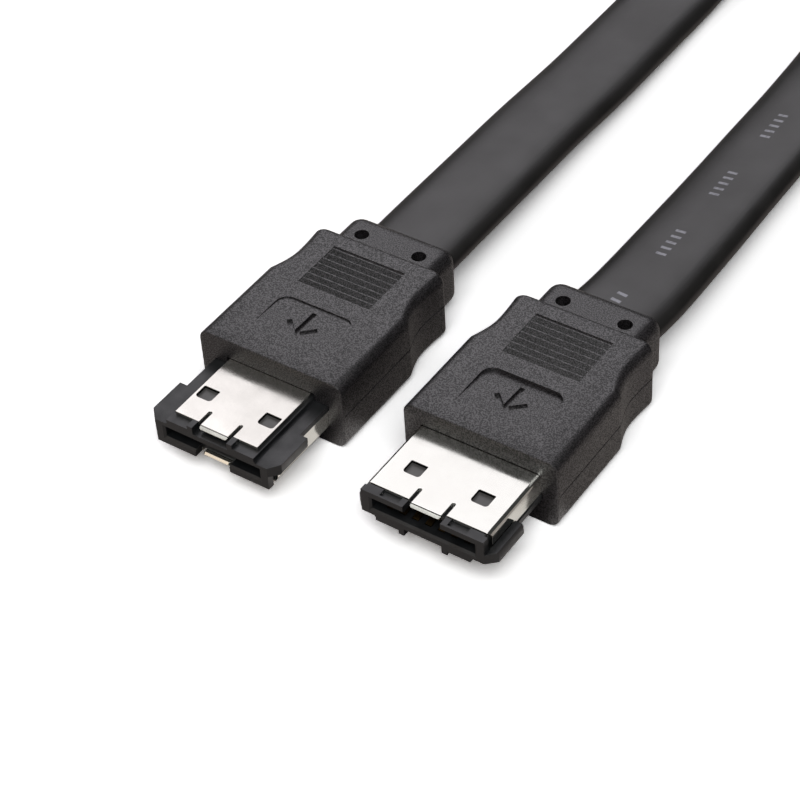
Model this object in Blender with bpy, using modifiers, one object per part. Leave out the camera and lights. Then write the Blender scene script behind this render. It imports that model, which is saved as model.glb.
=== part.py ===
"""An external serial drive cable: two identical plugs joined by one flat cable.

The plugs lie side by side on the surface z = 0 with their noses to -Y. Plug b shows its wide
shell upwards, and plug a is rolled half a turn about its own long axis, so that it shows its
narrow shell plate. The cable leaves both plugs to +Y, turns on edge and is wound double into
a neat coil from its middle. The origin is under the middle of the two plugs.

A plug's own frame has x across it, y from its nose (-) to its cable (+), with y = 0 at the
overmould's front face, and z up from the surface with the wide shell on top.
"""

import math

import bmesh
import bpy
from mathutils import Matrix, Vector

MM = 0.001

# Clearances
FIT = 0.05 * MM
SEAT = 0.3 * MM

# Overmould, the body that the fingers hold
BODY_WIDTH = 15.3 * MM
BODY_HEIGHT = 7.2 * MM
BODY_LENGTH = 17.25 * MM
BODY_EDGE = 1.1 * MM
WAIST_START = 10.35 * MM
WAIST_END = 13.7 * MM
WAIST_WIDTH = 13.65 * MM
TAIL_WIDTH = 14.05 * MM
TAIL_CORNER = 0.5 * MM
NECK_WIDTH = 11.3 * MM
NECK_HEIGHT = 5.9 * MM
NECK_LENGTH = 4.3 * MM
NECK_CORNER = 1.5 * MM
NECK_EDGE = 1.3 * MM
EDGE_STEPS = 3

# Finger grip and label recess on both faces, the recess shallower on the narrow plate's side
GRIP_WIDTH = 7.75 * MM
GRIP_START = 9.78 * MM
GRIP_LENGTH = 5.7 * MM
GRIP_PITCH = 0.78 * MM
GRIP_DEPTH = 0.28 * MM
GRIP_CREST_DEPTH = 0.08 * MM
GRIP_HOLLOW = 0.06 * MM
LABEL_WIDTH = 8.0 * MM
LABEL_START = 2.5 * MM
LABEL_LENGTH = 5.25 * MM
LABEL_DEPTH = 0.3 * MM
LABEL_DEPTH_NARROW = 0.13 * MM
LABEL_CORNER = 1.2 * MM
PIN_HOLE_RADIUS = 0.68 * MM
PIN_HOLE_SPACING = 6.3 * MM
PIN_HOLE_PLACE = 18.75 * MM

# Metal shell, a wide channel and a narrow plate of one gauge
SHELL_GAUGE = 0.3 * MM
SHELL_TOP = 5.45 * MM
SHELL_BOTTOM = 2.01 * MM
SHELL_REACH = 7.83 * MM
SHELL_INSIDE = 5.8 * MM
WIDE_WIDTH = 12.0 * MM
WIDE_WALL_FOOT = 3.35 * MM
WIDE_FOLD = 0.4 * MM
NARROW_WIDTH = 8.75 * MM
TONGUE_SLOT_PLACE = 1.65 * MM
TONGUE_SLOT_WIDTH = 0.38 * MM
TONGUE_SLOT_LENGTH = 1.53 * MM
TONGUE_LIP_DROP = 0.55 * MM
TONGUE_LIP_REACH = 0.4 * MM
WINDOW_LENGTH = 1.3 * MM
WINDOW_WIDTH = 1.47 * MM
WINDOW_PLACE = 3.32 * MM
WINDOW_BACK = 4.0 * MM
WINDOW_CORNER = 0.3 * MM

# Black insulator with its two key wings
NOSE_PROUD = 1.01 * MM
NOSE_INSIDE = 4.0 * MM
NOSE_LOW = 2.76 * MM
LAND_WIDTH = 9.32 * MM
FLANGE_WIDTH = 12.2 * MM
LEDGE_DROP = 0.09 * MM
WING_WIDTH = 13.75 * MM
WING_HEIGHT = 1.35 * MM
WING_BACK = 4.11 * MM
WING_CHAMFER = 0.95 * MM
WING_LEAD_IN = 0.12 * MM
WALL_END_GAP = 0.25 * MM
POCKET_INNER = 2.4 * MM
POCKET_OUTER = 4.25 * MM
POCKET_FRONT_WALL = 0.2 * MM
POST_RISE = 0.4 * MM
TONGUE_POCKET_DEPTH = 0.36 * MM
SLOT_WIDTH = 10.1 * MM
SLOT_FLOOR = 3.45 * MM
SLOT_ROOF = 4.6 * MM
SLOT_DEPTH = 7.3 * MM
SLOT_LEAD_IN = 0.2 * MM

# Seven spring contacts and the seven conductors behind them
CONTACT_COUNT = 7
CONTACT_PITCH = 1.27 * MM
CONTACT_WIDTH = 0.6 * MM
CONTACT_GAUGE = 0.2 * MM
CONTACT_CHANNEL = 0.45 * MM
CONTACT_INSET = 0.94 * MM
CONTACT_TOE = 1.6 * MM
CONTACT_CREST = 0.35 * MM
CONTACT_ROOT = 1.2 * MM
CONTACT_TAIL = 1.8 * MM
SIGNAL_WIRE = 0.9 * MM
DRAIN_WIRE = 0.5 * MM
DRAIN_POSITIONS = (0, 3, 6)

# Pieces hidden in the overmould
INNER_MOULD_WIDTH = 10.8 * MM
INNER_MOULD_HEIGHT = 3.7 * MM
INNER_MOULD_START = 6.4 * MM
INNER_MOULD_LENGTH = 6.6 * MM
CLAMP_GAUGE = 0.3 * MM
CLAMP_START = 14.0 * MM
CLAMP_LENGTH = 3.0 * MM
CABLE_START = 13.5 * MM

# Flat cable
CABLE_WIDTH = 9.5 * MM
CABLE_THICKNESS = 2.8 * MM
CABLE_SIDES = 2

# Where the plugs lie
PLUG_SPACING = 20.75 * MM
PLUG_STAGGER = 1.34 * MM

# Coil, wound double from its middle
COIL_CENTRE = Vector((46.75, 122.0)) * MM
COIL_INNER = 38.0 * MM
COIL_STEP = 3.5 * MM
COIL_TURNS = 1.5
TIE_THICKNESS = 0.5 * MM
TIE_WIDTH = 6.0 * MM
TIE_SLACK = 0.7 * MM
TIE_ANGLES = (60.0, -60.0)
BIGHT_TRIM = 25.0
ROUTE_STEPS = 4

# Routes of the cable in mm: x, y and z of its middle and its turn on edge in degrees
RUN_A = (
    (-10.38, 6.5, 3.6, 0), (-10.38, 13.0, 3.6, 0), (-10.42, 20.0, 3.55, 0), (-10.54, 28.0, 3.3, 0),
    (-10.83, 38.0, 2.8, 0), (-10.88, 48.0, 2.3, 0), (-11.14, 57.0, 1.9, 0), (-11.36, 66.0, 1.6, 0),
    (-11.15, 74.0, 1.95, 7), (-10.1, 81.0, 3.1, 26), (-8.2, 88.0, 4.3, 52), (-5.8, 95.0, 5.1, 75),
    (-3.5, 102.0, 5.5, 87),
)
RUN_B = (
    (10.38, 7.84, 3.6, 0), (10.38, 14.3, 3.6, 0), (10.82, 20.0, 3.6, 1), (10.64, 29.0, 3.1, 3),
    (10.29, 39.0, 2.5, 5.5), (10.08, 48.0, 2.2, 6), (9.9, 56.0, 2.15, 9), (9.4, 64.0, 2.75, 20),
    (8.3, 72.0, 3.8, 39), (6.5, 80.0, 4.75, 61), (4.4, 88.0, 5.35, 80), (2.7, 95.0, 5.5, 88),
)

# Values worked out from the sizes above
NOSE_REACH = SHELL_REACH + NOSE_PROUD
CONTACT_TIP = NOSE_REACH - CONTACT_INSET
CONTACT_CREST_PLACE = CONTACT_TIP - CONTACT_TOE
PLUG_LENGTH = NOSE_REACH + BODY_LENGTH + NECK_LENGTH
BODY_MIDDLE = BODY_HEIGHT / 2
PLUG_A_PLACE = Vector((-PLUG_SPACING / 2, NOSE_REACH - (PLUG_LENGTH + PLUG_STAGGER) / 2))
PLUG_B_PLACE = PLUG_A_PLACE + Vector((PLUG_SPACING, PLUG_STAGGER))
WIDE_PLATE_UNDER = SHELL_TOP - SHELL_GAUGE
NARROW_PLATE_OVER = SHELL_BOTTOM + SHELL_GAUGE
CORE_TOP = WIDE_PLATE_UNDER - FIT
LAND_LOW = NARROW_PLATE_OVER + FIT
CORE_HALF = WIDE_WIDTH / 2 - SHELL_GAUGE - FIT
WALL_SEAT = WIDE_WALL_FOOT - FIT
NOSE_BACK = SHELL_REACH + FIT
SLIT_INNER = TONGUE_SLOT_PLACE - TONGUE_SLOT_WIDTH / 2
SLIT_OUTER = TONGUE_SLOT_PLACE + TONGUE_SLOT_WIDTH / 2
PAST = 1.0 * MM
COIL_LIFT = TIE_THICKNESS + SEAT - FIT
COIL_MIDDLE = COIL_LIFT + CABLE_WIDTH / 2
COIL_OUTSIDE = COIL_INNER + COIL_STEP * (2 * COIL_TURNS - 0.5) + CABLE_THICKNESS / 2
COIL_INSIDE = COIL_INNER - CABLE_THICKNESS / 2

for startup_object in list(bpy.data.objects):
    bpy.data.objects.remove(startup_object)
parts = bpy.data.collections.new("serial_drive_cable")
cutters = bpy.data.collections.new("cutters")
for group in (parts, cutters):
    bpy.context.scene.collection.children.link(group)


def material(name, colour, roughness, metallic=0.0):
    look = bpy.data.materials.new(name)
    look.use_nodes = True
    shader = look.node_tree.nodes["Principled BSDF"]
    shader.inputs["Base Color"].default_value = (*colour, 1.0)
    shader.inputs["Roughness"].default_value = roughness
    shader.inputs["Metallic"].default_value = metallic
    return look


OVERMOULD_BLACK = material("overmould_black", (0.045, 0.044, 0.046), 0.6)
INSULATOR_BLACK = material("insulator_black", (0.04, 0.04, 0.045), 0.4)
JACKET_BLACK = material("jacket_black", (0.035, 0.035, 0.037), 0.45)
NICKEL = material("nickel_plate", (0.78, 0.76, 0.73), 0.25, 1.0)
CONTACT_GOLD = material("contact_gold", (0.83, 0.62, 0.28), 0.3, 1.0)
TINNED_COPPER = material("tinned_copper", (0.7, 0.68, 0.66), 0.35, 1.0)
WIRE_INSULATION = material("wire_insulation", (0.75, 0.75, 0.75), 0.5)
INNER_MOULD_WHITE = material("inner_mould_white", (0.7, 0.7, 0.66), 0.55)
TIE_BLACK = material("tie_black", (0.03, 0.03, 0.03), 0.7)


def add(name, mesh, group, parent=None, look=None):
    item = bpy.data.objects.new(name, mesh)
    item.parent = parent
    group.objects.link(item)
    if group is cutters:
        item.hide_render = True
        item.display_type = "WIRE"
    if look:
        mesh.materials.append(look)
    return item


def box_mesh(name, low, high):
    """A cube between two corners."""
    mesh = bpy.data.meshes.new(name)
    shape = bmesh.new()
    bmesh.ops.create_cube(shape, size=1.0)
    size = [b - a for a, b in zip(low, high)]
    middle = [(a + b) / 2 for a, b in zip(low, high)]
    place = Matrix.Translation(middle) @ Matrix.Diagonal((*size, 1))
    bmesh.ops.transform(shape, verts=shape.verts, matrix=place)
    shape.to_mesh(mesh)
    shape.free()
    return mesh


def welded_mesh(curve_object):
    """The mesh of a filled curve, with its caps welded on and made one face each."""
    graph = bpy.context.evaluated_depsgraph_get()
    mesh = bpy.data.meshes.new_from_object(curve_object.evaluated_get(graph))
    shape = bmesh.new()
    shape.from_mesh(mesh)
    bmesh.ops.remove_doubles(shape, verts=shape.verts, dist=0.001 * MM)
    bmesh.ops.dissolve_limit(shape, angle_limit=math.radians(0.1), verts=shape.verts, edges=shape.edges)
    bmesh.ops.recalc_face_normals(shape, faces=shape.faces)
    shape.to_mesh(mesh)
    shape.free()
    bpy.data.objects.remove(curve_object)
    return mesh


def prism_mesh(name, outline, low, high, turn=Matrix.Identity(4)):
    """A flat outline filled and given a thickness from low to high, then turned into place."""
    curve = bpy.data.curves.new(name, "CURVE")
    curve.dimensions = "2D"
    curve.fill_mode = "BOTH"
    curve.extrude = (high - low) / 2
    spline = curve.splines.new("POLY")
    spline.points.add(len(outline) - 1)
    spline.use_cyclic_u = True
    for point, (u, v) in zip(spline.points, outline):
        point.co = (u, v, 0, 1)
    curve_object = bpy.data.objects.new(name, curve)
    bpy.context.scene.collection.objects.link(curve_object)
    mesh = welded_mesh(curve_object)
    mesh.transform(turn @ Matrix.Translation((0, 0, (low + high) / 2)))
    mesh.name = name
    return mesh


# Outlines drawn in x and z run along y, and outlines drawn in y and z run along x
ALONG_Y = Matrix(((1, 0, 0, 0), (0, 0, 1, 0), (0, 1, 0, 0), (0, 0, 0, 1)))
ALONG_X = Matrix(((0, 0, 1, 0), (1, 0, 0, 0), (0, 1, 0, 0), (0, 0, 0, 1)))


def facing_out(mesh):
    shape = bmesh.new()
    shape.from_mesh(mesh)
    bmesh.ops.recalc_face_normals(shape, faces=shape.faces)
    shape.to_mesh(mesh)
    shape.free()
    return mesh


def rounded(mesh, chosen, width, steps):
    """Rounds the edges of a mesh that the function chosen picks."""
    shape = bmesh.new()
    shape.from_mesh(mesh)
    edges = [edge for edge in shape.edges if chosen(edge.verts[0].co, edge.verts[1].co)]
    bmesh.ops.bevel(shape, geom=edges, offset=width, offset_type="OFFSET", segments=steps,
                    profile=0.5, affect="EDGES", clamp_overlap=True, material=-1)
    bmesh.ops.recalc_face_normals(shape, faces=shape.faces)
    shape.to_mesh(mesh)
    shape.free()
    return mesh


def combine(target, mesh, operation, parent):
    """Cuts or joins a helper mesh to a part with a live Boolean."""
    name = f"{target.name}_{operation.lower()}_{len(target.modifiers)}"
    helper = add(name, mesh, cutters, parent)
    modifier = target.modifiers.new(name, "BOOLEAN")
    modifier.operation = operation
    modifier.solver = "EXACT"
    modifier.object = helper


def smooth(item):
    item.data.shade_smooth()
    item.data.set_sharp_from_angle(angle=math.radians(32))


def arc(centre, radius, start, end, steps):
    """Points on an arc, angles in degrees."""
    angles = [math.radians(start + (end - start) * i / steps) for i in range(steps + 1)]
    return [(centre[0] + radius * math.cos(a), centre[1] + radius * math.sin(a)) for a in angles]


def both_sides(right_side):
    """A closed outline from the points of its right side and their mirror images."""
    return right_side + [(-x, y) for x, y in reversed(right_side)]


def stadium(width, height, middle, steps):
    """A flat section with round ends, in x and z."""
    end = (width - height) / 2
    right = arc((end, middle), height / 2, -90, 90, steps)
    left = arc((-end, middle), height / 2, 90, 270, steps)
    return right + left


def body_stations():
    """Pairs of y and half width along the overmould: straight, waisted, flared, round corner."""
    half = BODY_WIDTH / 2
    waist = WAIST_WIDTH / 2
    tail = TAIL_WIDTH / 2
    stations = [(0, half), (WAIST_START, half)]
    for i in range(1, 6):
        share = i / 5
        width = half - (half - waist) * math.sin(share * math.pi / 2)
        stations.append((WAIST_START + share * (WAIST_END - WAIST_START), width))
    corner = BODY_LENGTH - TAIL_CORNER
    for i in range(1, 4):
        share = i / 3
        width = waist + (tail - waist) * (1 - math.cos(share * math.pi / 2))
        stations.append((WAIST_END + share * (corner - WAIST_END), width))
    turned = arc((corner, tail - TAIL_CORNER), TAIL_CORNER, 90, 0, 3)
    return stations + turned[1:]


def body_mesh():
    """A loft through rounded oblongs, one at each station."""
    shape = bmesh.new()
    edge = BODY_EDGE
    edges = []
    for y, half in body_stations():
        across = half - edge
        loop = []
        for x, z, start in ((across, BODY_HEIGHT - edge, 0), (-across, BODY_HEIGHT - edge, 90),
                            (-across, edge, 180), (across, edge, 270)):
            for u, v in arc((x, z), edge, start, start + 90, EDGE_STEPS):
                loop.append(shape.verts.new((u, y, v)))
        edges += [shape.edges.new(pair) for pair in zip(loop, loop[1:] + loop[:1])]
        if y in (0, BODY_LENGTH):
            shape.faces.new(loop)
    bmesh.ops.bridge_loops(shape, edges=edges)
    bmesh.ops.recalc_face_normals(shape, faces=shape.faces)
    mesh = bpy.data.meshes.new("body")
    shape.to_mesh(mesh)
    shape.free()
    return mesh


def neck_outline():
    half = NECK_WIDTH / 2
    end = BODY_LENGTH + NECK_LENGTH
    points = [(half, BODY_LENGTH - PAST)]
    points += arc((half - NECK_CORNER, end - NECK_CORNER), NECK_CORNER, 0, 90, 5)
    return both_sides(points)


def overmould(prefix, plug):
    half_neck = NECK_HEIGHT / 2
    item = add(prefix + "overmould", body_mesh(), parts, plug, OVERMOULD_BLACK)
    neck = prism_mesh("neck", neck_outline(), BODY_MIDDLE - half_neck, BODY_MIDDLE + half_neck)
    start = BODY_LENGTH - PAST / 2
    rounded(neck, lambda a, b: abs(a.z - b.z) < FIT and max(a.y, b.y) > start, NECK_EDGE, EDGE_STEPS)
    combine(item, neck, "UNION", plug)
    for cavity in (shell_cavity(), inner_mould_cavity(), clamp_cavity(), cable_bore()):
        combine(item, cavity, "DIFFERENCE", plug)
    for side in (-1, 1):
        face = BODY_MIDDLE + side * BODY_MIDDLE
        combine(item, grip_cutter(side, face), "DIFFERENCE", plug)
        combine(item, label_cutter(side, face), "DIFFERENCE", plug)
        combine(item, pin_hole_cutter(side), "DIFFERENCE", plug)
    smooth(item)
    return item


def shell_cavity():
    """The mouth that the shell and the insulator enter, with the same stepped section as they have."""
    wide = WIDE_WIDTH / 2 + FIT
    flange = FLANGE_WIDTH / 2 + FIT
    land = LAND_WIDTH / 2 + FIT
    right = [
        (land, SHELL_BOTTOM - FIT), (land, NOSE_LOW - FIT), (flange, NOSE_LOW - 2 * FIT),
        (flange, WIDE_WALL_FOOT), (wide, WIDE_WALL_FOOT - FIT / 2),
    ]
    fold = WIDE_WIDTH / 2 - WIDE_FOLD
    right += arc((fold, SHELL_TOP - WIDE_FOLD), WIDE_FOLD + FIT, 0, 90, 3)
    return facing_out(prism_mesh("mouth", both_sides(right), -PAST, INNER_MOULD_START, ALONG_Y))


def inner_mould_cavity():
    half = INNER_MOULD_WIDTH / 2 + FIT
    rise = INNER_MOULD_HEIGHT / 2 + FIT
    low = (-half, INNER_MOULD_START - PAST / 5, BODY_MIDDLE - rise)
    high = (half, INNER_MOULD_START + INNER_MOULD_LENGTH + FIT, BODY_MIDDLE + rise)
    return box_mesh("inner_mould_cavity", low, high)


def clamp_cavity():
    grow = 2 * (CLAMP_GAUGE + 2 * FIT + FIT)
    outline = stadium(CABLE_WIDTH + grow, CABLE_THICKNESS + grow, BODY_MIDDLE, 6)
    start = CLAMP_START - FIT
    return facing_out(prism_mesh("clamp_cavity", outline, start, start + CLAMP_LENGTH + 2 * FIT, ALONG_Y))


def cable_bore():
    outline = stadium(CABLE_WIDTH + 4 * FIT, CABLE_THICKNESS + 4 * FIT, BODY_MIDDLE, 6)
    start = INNER_MOULD_START + INNER_MOULD_LENGTH - PAST / 5
    return facing_out(prism_mesh("bore", outline, start, BODY_LENGTH + NECK_LENGTH + PAST, ALONG_Y))


def grip_cutter(side, face):
    """Saw teeth across the overmould, each deepest at its front, with crests in a slight hollow."""
    end = GRIP_START + GRIP_LENGTH
    points = [(GRIP_START, face + side * PAST)]
    start = GRIP_START
    while start < end - FIT:
        stop = min(start + GRIP_PITCH, end)
        along = 2 * (stop - GRIP_START) / GRIP_LENGTH - 1
        crest = GRIP_CREST_DEPTH + GRIP_HOLLOW * (1 - along ** 2)
        rise = (GRIP_DEPTH - crest) * (stop - start) / GRIP_PITCH
        points.append((start, face - side * GRIP_DEPTH))
        points.append((stop, face - side * (GRIP_DEPTH - rise)))
        start = stop
    points.append((end, face + side * PAST))
    half = GRIP_WIDTH / 2
    return facing_out(prism_mesh("grip", points, -half, half, ALONG_X))


def label_cutter(side, face):
    """A shallow recess that starts flush at its front and is deepest at its round back corners."""
    half = LABEL_WIDTH / 2
    middle = LABEL_START + LABEL_LENGTH - LABEL_CORNER
    right = [(half, LABEL_START - PAST)]
    right += arc((half - LABEL_CORNER, middle), LABEL_CORNER, 0, 90, 4)
    depth = LABEL_DEPTH if side > 0 else LABEL_DEPTH_NARROW
    mesh = prism_mesh("label", both_sides(right), 0, PAST)
    hinge = Matrix.Translation((0, LABEL_START, face))
    tilt = Matrix.Rotation(-math.asin(depth / LABEL_LENGTH), 4, "X")
    flip = Matrix.Diagonal((1, 1, side, 1))
    mesh.transform(hinge @ flip @ tilt @ Matrix.Translation((0, -LABEL_START, 0)))
    return facing_out(mesh)


def pin_hole_cutter(side):
    """Two round holes in the neck, left by the pins that held the cable in the mould."""
    shape = bmesh.new()
    top = BODY_MIDDLE + side * (NECK_HEIGHT / 2 + PAST)
    bottom = BODY_MIDDLE + side * (CABLE_THICKNESS / 2)
    for across in (-1, 1):
        place = (across * PIN_HOLE_SPACING / 2, PIN_HOLE_PLACE, (top + bottom) / 2)
        bmesh.ops.create_cone(shape, cap_ends=True, segments=20, radius1=PIN_HOLE_RADIUS,
                              radius2=PIN_HOLE_RADIUS, depth=abs(top - bottom),
                              matrix=Matrix.Translation(place))
    mesh = bpy.data.meshes.new("pin_holes")
    shape.to_mesh(mesh)
    shape.free()
    return mesh


def shell_cuts(item, plug, plate_low, plate_high):
    """The two slits beside the spring tongue and the two latch windows of a shell plate."""
    low, high = plate_low - PAST / 4, plate_high + PAST / 4
    for side in (-1, 1):
        inner, outer = sorted((side * SLIT_INNER, side * SLIT_OUTER))
        back = TONGUE_SLOT_LENGTH - SHELL_REACH
        slit = box_mesh("slit", (inner, -SHELL_REACH - PAST, low), (outer, back, high))
        combine(item, slit, "DIFFERENCE", plug)
        near = side * WINDOW_PLACE - WINDOW_WIDTH / 2
        far = near + WINDOW_WIDTH
        front = -WINDOW_BACK - WINDOW_LENGTH
        outline = [(far, -WINDOW_BACK), (near, -WINDOW_BACK)]
        outline += arc((near + WINDOW_CORNER, front + WINDOW_CORNER), WINDOW_CORNER, 180, 270, 3)
        outline += arc((far - WINDOW_CORNER, front + WINDOW_CORNER), WINDOW_CORNER, 270, 360, 3)
        combine(item, facing_out(prism_mesh("window", outline, low, high)), "DIFFERENCE", plug)


def tongue_lip(outer_face, inner_face):
    """The front of the spring tongue, bent into the plug as a lead-in."""
    inward = 1 if inner_face > outer_face else -1
    outer = outer_face + inward * SHELL_GAUGE / 6
    inner = inner_face - inward * SHELL_GAUGE / 6
    front = -SHELL_REACH
    outline = [
        (front + 2 * SHELL_GAUGE, outer), (front - TONGUE_LIP_REACH / 3, outer),
        (front - TONGUE_LIP_REACH, outer_face + inward * TONGUE_LIP_DROP),
        (front - TONGUE_LIP_REACH / 3, outer_face + inward * TONGUE_LIP_DROP),
        (front + SHELL_GAUGE / 2, inner), (front + 2 * SHELL_GAUGE, inner),
    ]
    half = SLIT_INNER - FIT / 2
    return facing_out(prism_mesh("lip", outline, -half, half, ALONG_X))


def shell_wide(prefix, plug):
    half = WIDE_WIDTH / 2
    inside = half - SHELL_GAUGE
    fold = SHELL_TOP - WIDE_FOLD
    right = [(inside, WIDE_PLATE_UNDER), (inside, WIDE_WALL_FOOT), (half, WIDE_WALL_FOOT)]
    right += arc((half - WIDE_FOLD, fold), WIDE_FOLD, 0, 90, 3)
    outline = right + [(-x, z) for x, z in reversed(right)]
    mesh = facing_out(prism_mesh("channel", outline, -SHELL_REACH, SHELL_INSIDE, ALONG_Y))
    item = add(prefix + "shell_wide", mesh, parts, plug, NICKEL)
    combine(item, tongue_lip(SHELL_TOP, WIDE_PLATE_UNDER), "UNION", plug)
    shell_cuts(item, plug, WIDE_PLATE_UNDER, SHELL_TOP)
    return item


def shell_narrow(prefix, plug):
    half = NARROW_WIDTH / 2
    low = (-half, -SHELL_REACH, SHELL_BOTTOM)
    high = (half, SHELL_INSIDE, NARROW_PLATE_OVER)
    item = add(prefix + "shell_narrow", box_mesh("plate", low, high), parts, plug, NICKEL)
    combine(item, tongue_lip(SHELL_BOTTOM, NARROW_PLATE_OVER), "UNION", plug)
    shell_cuts(item, plug, SHELL_BOTTOM, NARROW_PLATE_OVER)
    return item


def insulator_blank():
    """The plan of the flange and the two key wings, as high as the tallest part of the nose."""
    nose = WIDE_WIDTH / 2
    outer = WING_WIDTH / 2
    flange = FLANGE_WIDTH / 2
    right = [
        (nose, -NOSE_REACH), (outer, WING_CHAMFER - NOSE_REACH), (outer, -WING_BACK),
        (flange, -WING_BACK), (flange, NOSE_INSIDE),
    ]
    return prism_mesh("blank", both_sides(right), LAND_LOW - POST_RISE, SHELL_TOP - LEDGE_DROP)


def bottom_cutter():
    """Takes the land down to the narrow plate, and leaves a post on each side of the tongue."""
    end = NOSE_INSIDE + PAST
    front = -NOSE_REACH - PAST
    side = LAND_WIDTH / 2 + PAST
    right = [(POCKET_INNER, -NOSE_BACK), (POCKET_INNER, front), (side, front), (side, end)]
    return prism_mesh("bottom_cutter", both_sides(right), SHELL_BOTTOM - PAST, LAND_LOW)


def wall_cutter(side):
    """The channel for a side wall of the wide shell, open beside the core behind the wing."""
    past = WING_WIDTH / 2 + PAST
    outer = WIDE_WIDTH / 2 + FIT
    step = -WING_BACK - FIT
    points = [
        (CORE_HALF, -NOSE_BACK - WALL_END_GAP), (outer, -NOSE_BACK - WALL_END_GAP), (outer, step),
        (past, step), (past, NOSE_INSIDE + PAST), (CORE_HALF, NOSE_INSIDE + PAST),
    ]
    outline = [(side * x, y) for x, y in points]
    return facing_out(prism_mesh("wall_cutter", outline, WALL_SEAT, SHELL_TOP + PAST))


def lead_in_cutter(side):
    """A shallow slope under the front of the flange and wing, outside the land."""
    slope_back = WING_CHAMFER - NOSE_REACH
    fall = WING_LEAD_IN / WING_CHAMFER
    front, back = -NOSE_REACH - PAST, slope_back + PAST
    outline = [
        (front, NOSE_LOW + fall * (slope_back - front)), (back, NOSE_LOW - fall * PAST),
        (back, SHELL_BOTTOM - PAST), (front, SHELL_BOTTOM - PAST),
    ]
    near, far = sorted((side * (LAND_WIDTH / 2 + 2 * FIT), side * (WING_WIDTH / 2 + PAST)))
    return facing_out(prism_mesh("lead_in_cutter", outline, near, far, ALONG_X))


def slot_cutter():
    """The slot for the tongue of the socket, with a mouth that opens all round."""
    half = SLOT_WIDTH / 2
    mouth = SLOT_LEAD_IN - NOSE_REACH
    middle = (SLOT_FLOOR + SLOT_ROOF) / 2
    low = (-half, -NOSE_REACH - PAST, SLOT_FLOOR)
    high = (half, SLOT_DEPTH - NOSE_REACH, SLOT_ROOF)
    mesh = box_mesh("slot_cutter", low, high)
    shape = bmesh.new()
    shape.from_mesh(mesh)
    everything = shape.verts[:] + shape.edges[:] + shape.faces[:]
    bmesh.ops.bisect_plane(shape, geom=everything, plane_co=(0, mouth, 0), plane_no=(0, 1, 0))
    for vertex in shape.verts:
        grow = max(mouth - vertex.co.y, 0)
        vertex.co.x += math.copysign(grow, vertex.co.x)
        vertex.co.z += math.copysign(grow, vertex.co.z - middle)
    shape.to_mesh(mesh)
    shape.free()
    return mesh


def insulator(prefix, plug):
    item = add(prefix + "insulator", insulator_blank(), parts, plug, INSULATOR_BLACK)
    front = -NOSE_REACH - PAST
    end = NOSE_INSIDE + PAST
    notch_back = FIT - SHELL_REACH
    above = SHELL_TOP + PAST
    below = SHELL_BOTTOM - PAST
    past = WING_WIDTH / 2 + PAST
    slit = SLIT_OUTER
    ceiling = LAND_LOW + TONGUE_POCKET_DEPTH
    cuts = [
        bottom_cutter(), slot_cutter(),
        box_mesh("over_core", (-past, -NOSE_BACK, CORE_TOP), (past, end, above)),
        box_mesh("notch", (-slit, front, SLOT_ROOF - PAST / 2), (slit, notch_back, above)),
        box_mesh("tongue_room", (-slit, front, below), (slit, notch_back, ceiling)),
    ]
    for side in (-1, 1):
        near, far = sorted((side * POCKET_INNER, side * POCKET_OUTER))
        low = (near, POCKET_FRONT_WALL - NOSE_REACH, CORE_TOP - FIT)
        cuts.append(box_mesh("pocket", low, (far, notch_back, above)))
        near, far = sorted((side * LAND_WIDTH / 2, side * past))
        cuts.append(box_mesh("under_flange", (near, front, below), (far, end, NOSE_LOW)))
        near, far = sorted((side * WIDE_WIDTH / 2, side * past))
        cuts.append(box_mesh("over_wing", (near, front, NOSE_LOW + WING_HEIGHT), (far, end, above)))
        cuts += [wall_cutter(side), lead_in_cutter(side)]
    for x in contact_places():
        half = CONTACT_WIDTH / 2 + FIT
        low = (x - half, -CONTACT_TIP - 2 * FIT, SLOT_FLOOR - CONTACT_CHANNEL)
        cuts.append(box_mesh("channel", low, (x + half, end, SLOT_FLOOR + FIT)))
    for cut in cuts:
        combine(item, cut, "DIFFERENCE", plug)


def contact_places():
    first = -(CONTACT_COUNT - 1) / 2 * CONTACT_PITCH
    return [first + i * CONTACT_PITCH for i in range(CONTACT_COUNT)]


def contact(name, x, plug):
    """A spring leaf: flat in its channel, arched to a crest in the slot, with a tail for the wire."""
    floor = SLOT_FLOOR - CONTACT_CHANNEL + FIT
    crest = SLOT_FLOOR + CONTACT_CREST
    rest = floor + CONTACT_GAUGE
    tail_end = NOSE_INSIDE + CONTACT_TAIL
    outline = [
        (tail_end, floor), (tail_end, rest), (-CONTACT_ROOT, rest), (-CONTACT_CREST_PLACE, crest),
        (-CONTACT_TIP, rest + CONTACT_GAUGE), (-CONTACT_TIP, rest),
        (-CONTACT_CREST_PLACE, crest - CONTACT_GAUGE), (-CONTACT_ROOT, floor),
    ]
    half = CONTACT_WIDTH / 2
    mesh = facing_out(prism_mesh("leaf", outline, x - half, x + half, ALONG_X))
    return add(name, mesh, parts, plug, CONTACT_GOLD)


def wire_size(i):
    return DRAIN_WIRE if i in DRAIN_POSITIONS else SIGNAL_WIRE


def wire_height(i):
    """A conductor's axis, which lies on its contact's tail."""
    return SLOT_FLOOR - CONTACT_CHANNEL + CONTACT_GAUGE + 2 * FIT + wire_size(i) / 2


def rod_mesh(name, radius, start, end, x, z, sides):
    shape = bmesh.new()
    place = Matrix.Translation((x, (start + end) / 2, z)) @ Matrix.Rotation(math.pi / 2, 4, "X")
    bmesh.ops.create_cone(shape, cap_ends=True, segments=sides, radius1=radius, radius2=radius,
                          depth=end - start, matrix=place)
    mesh = bpy.data.meshes.new(name)
    shape.to_mesh(mesh)
    shape.free()
    return mesh


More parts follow.
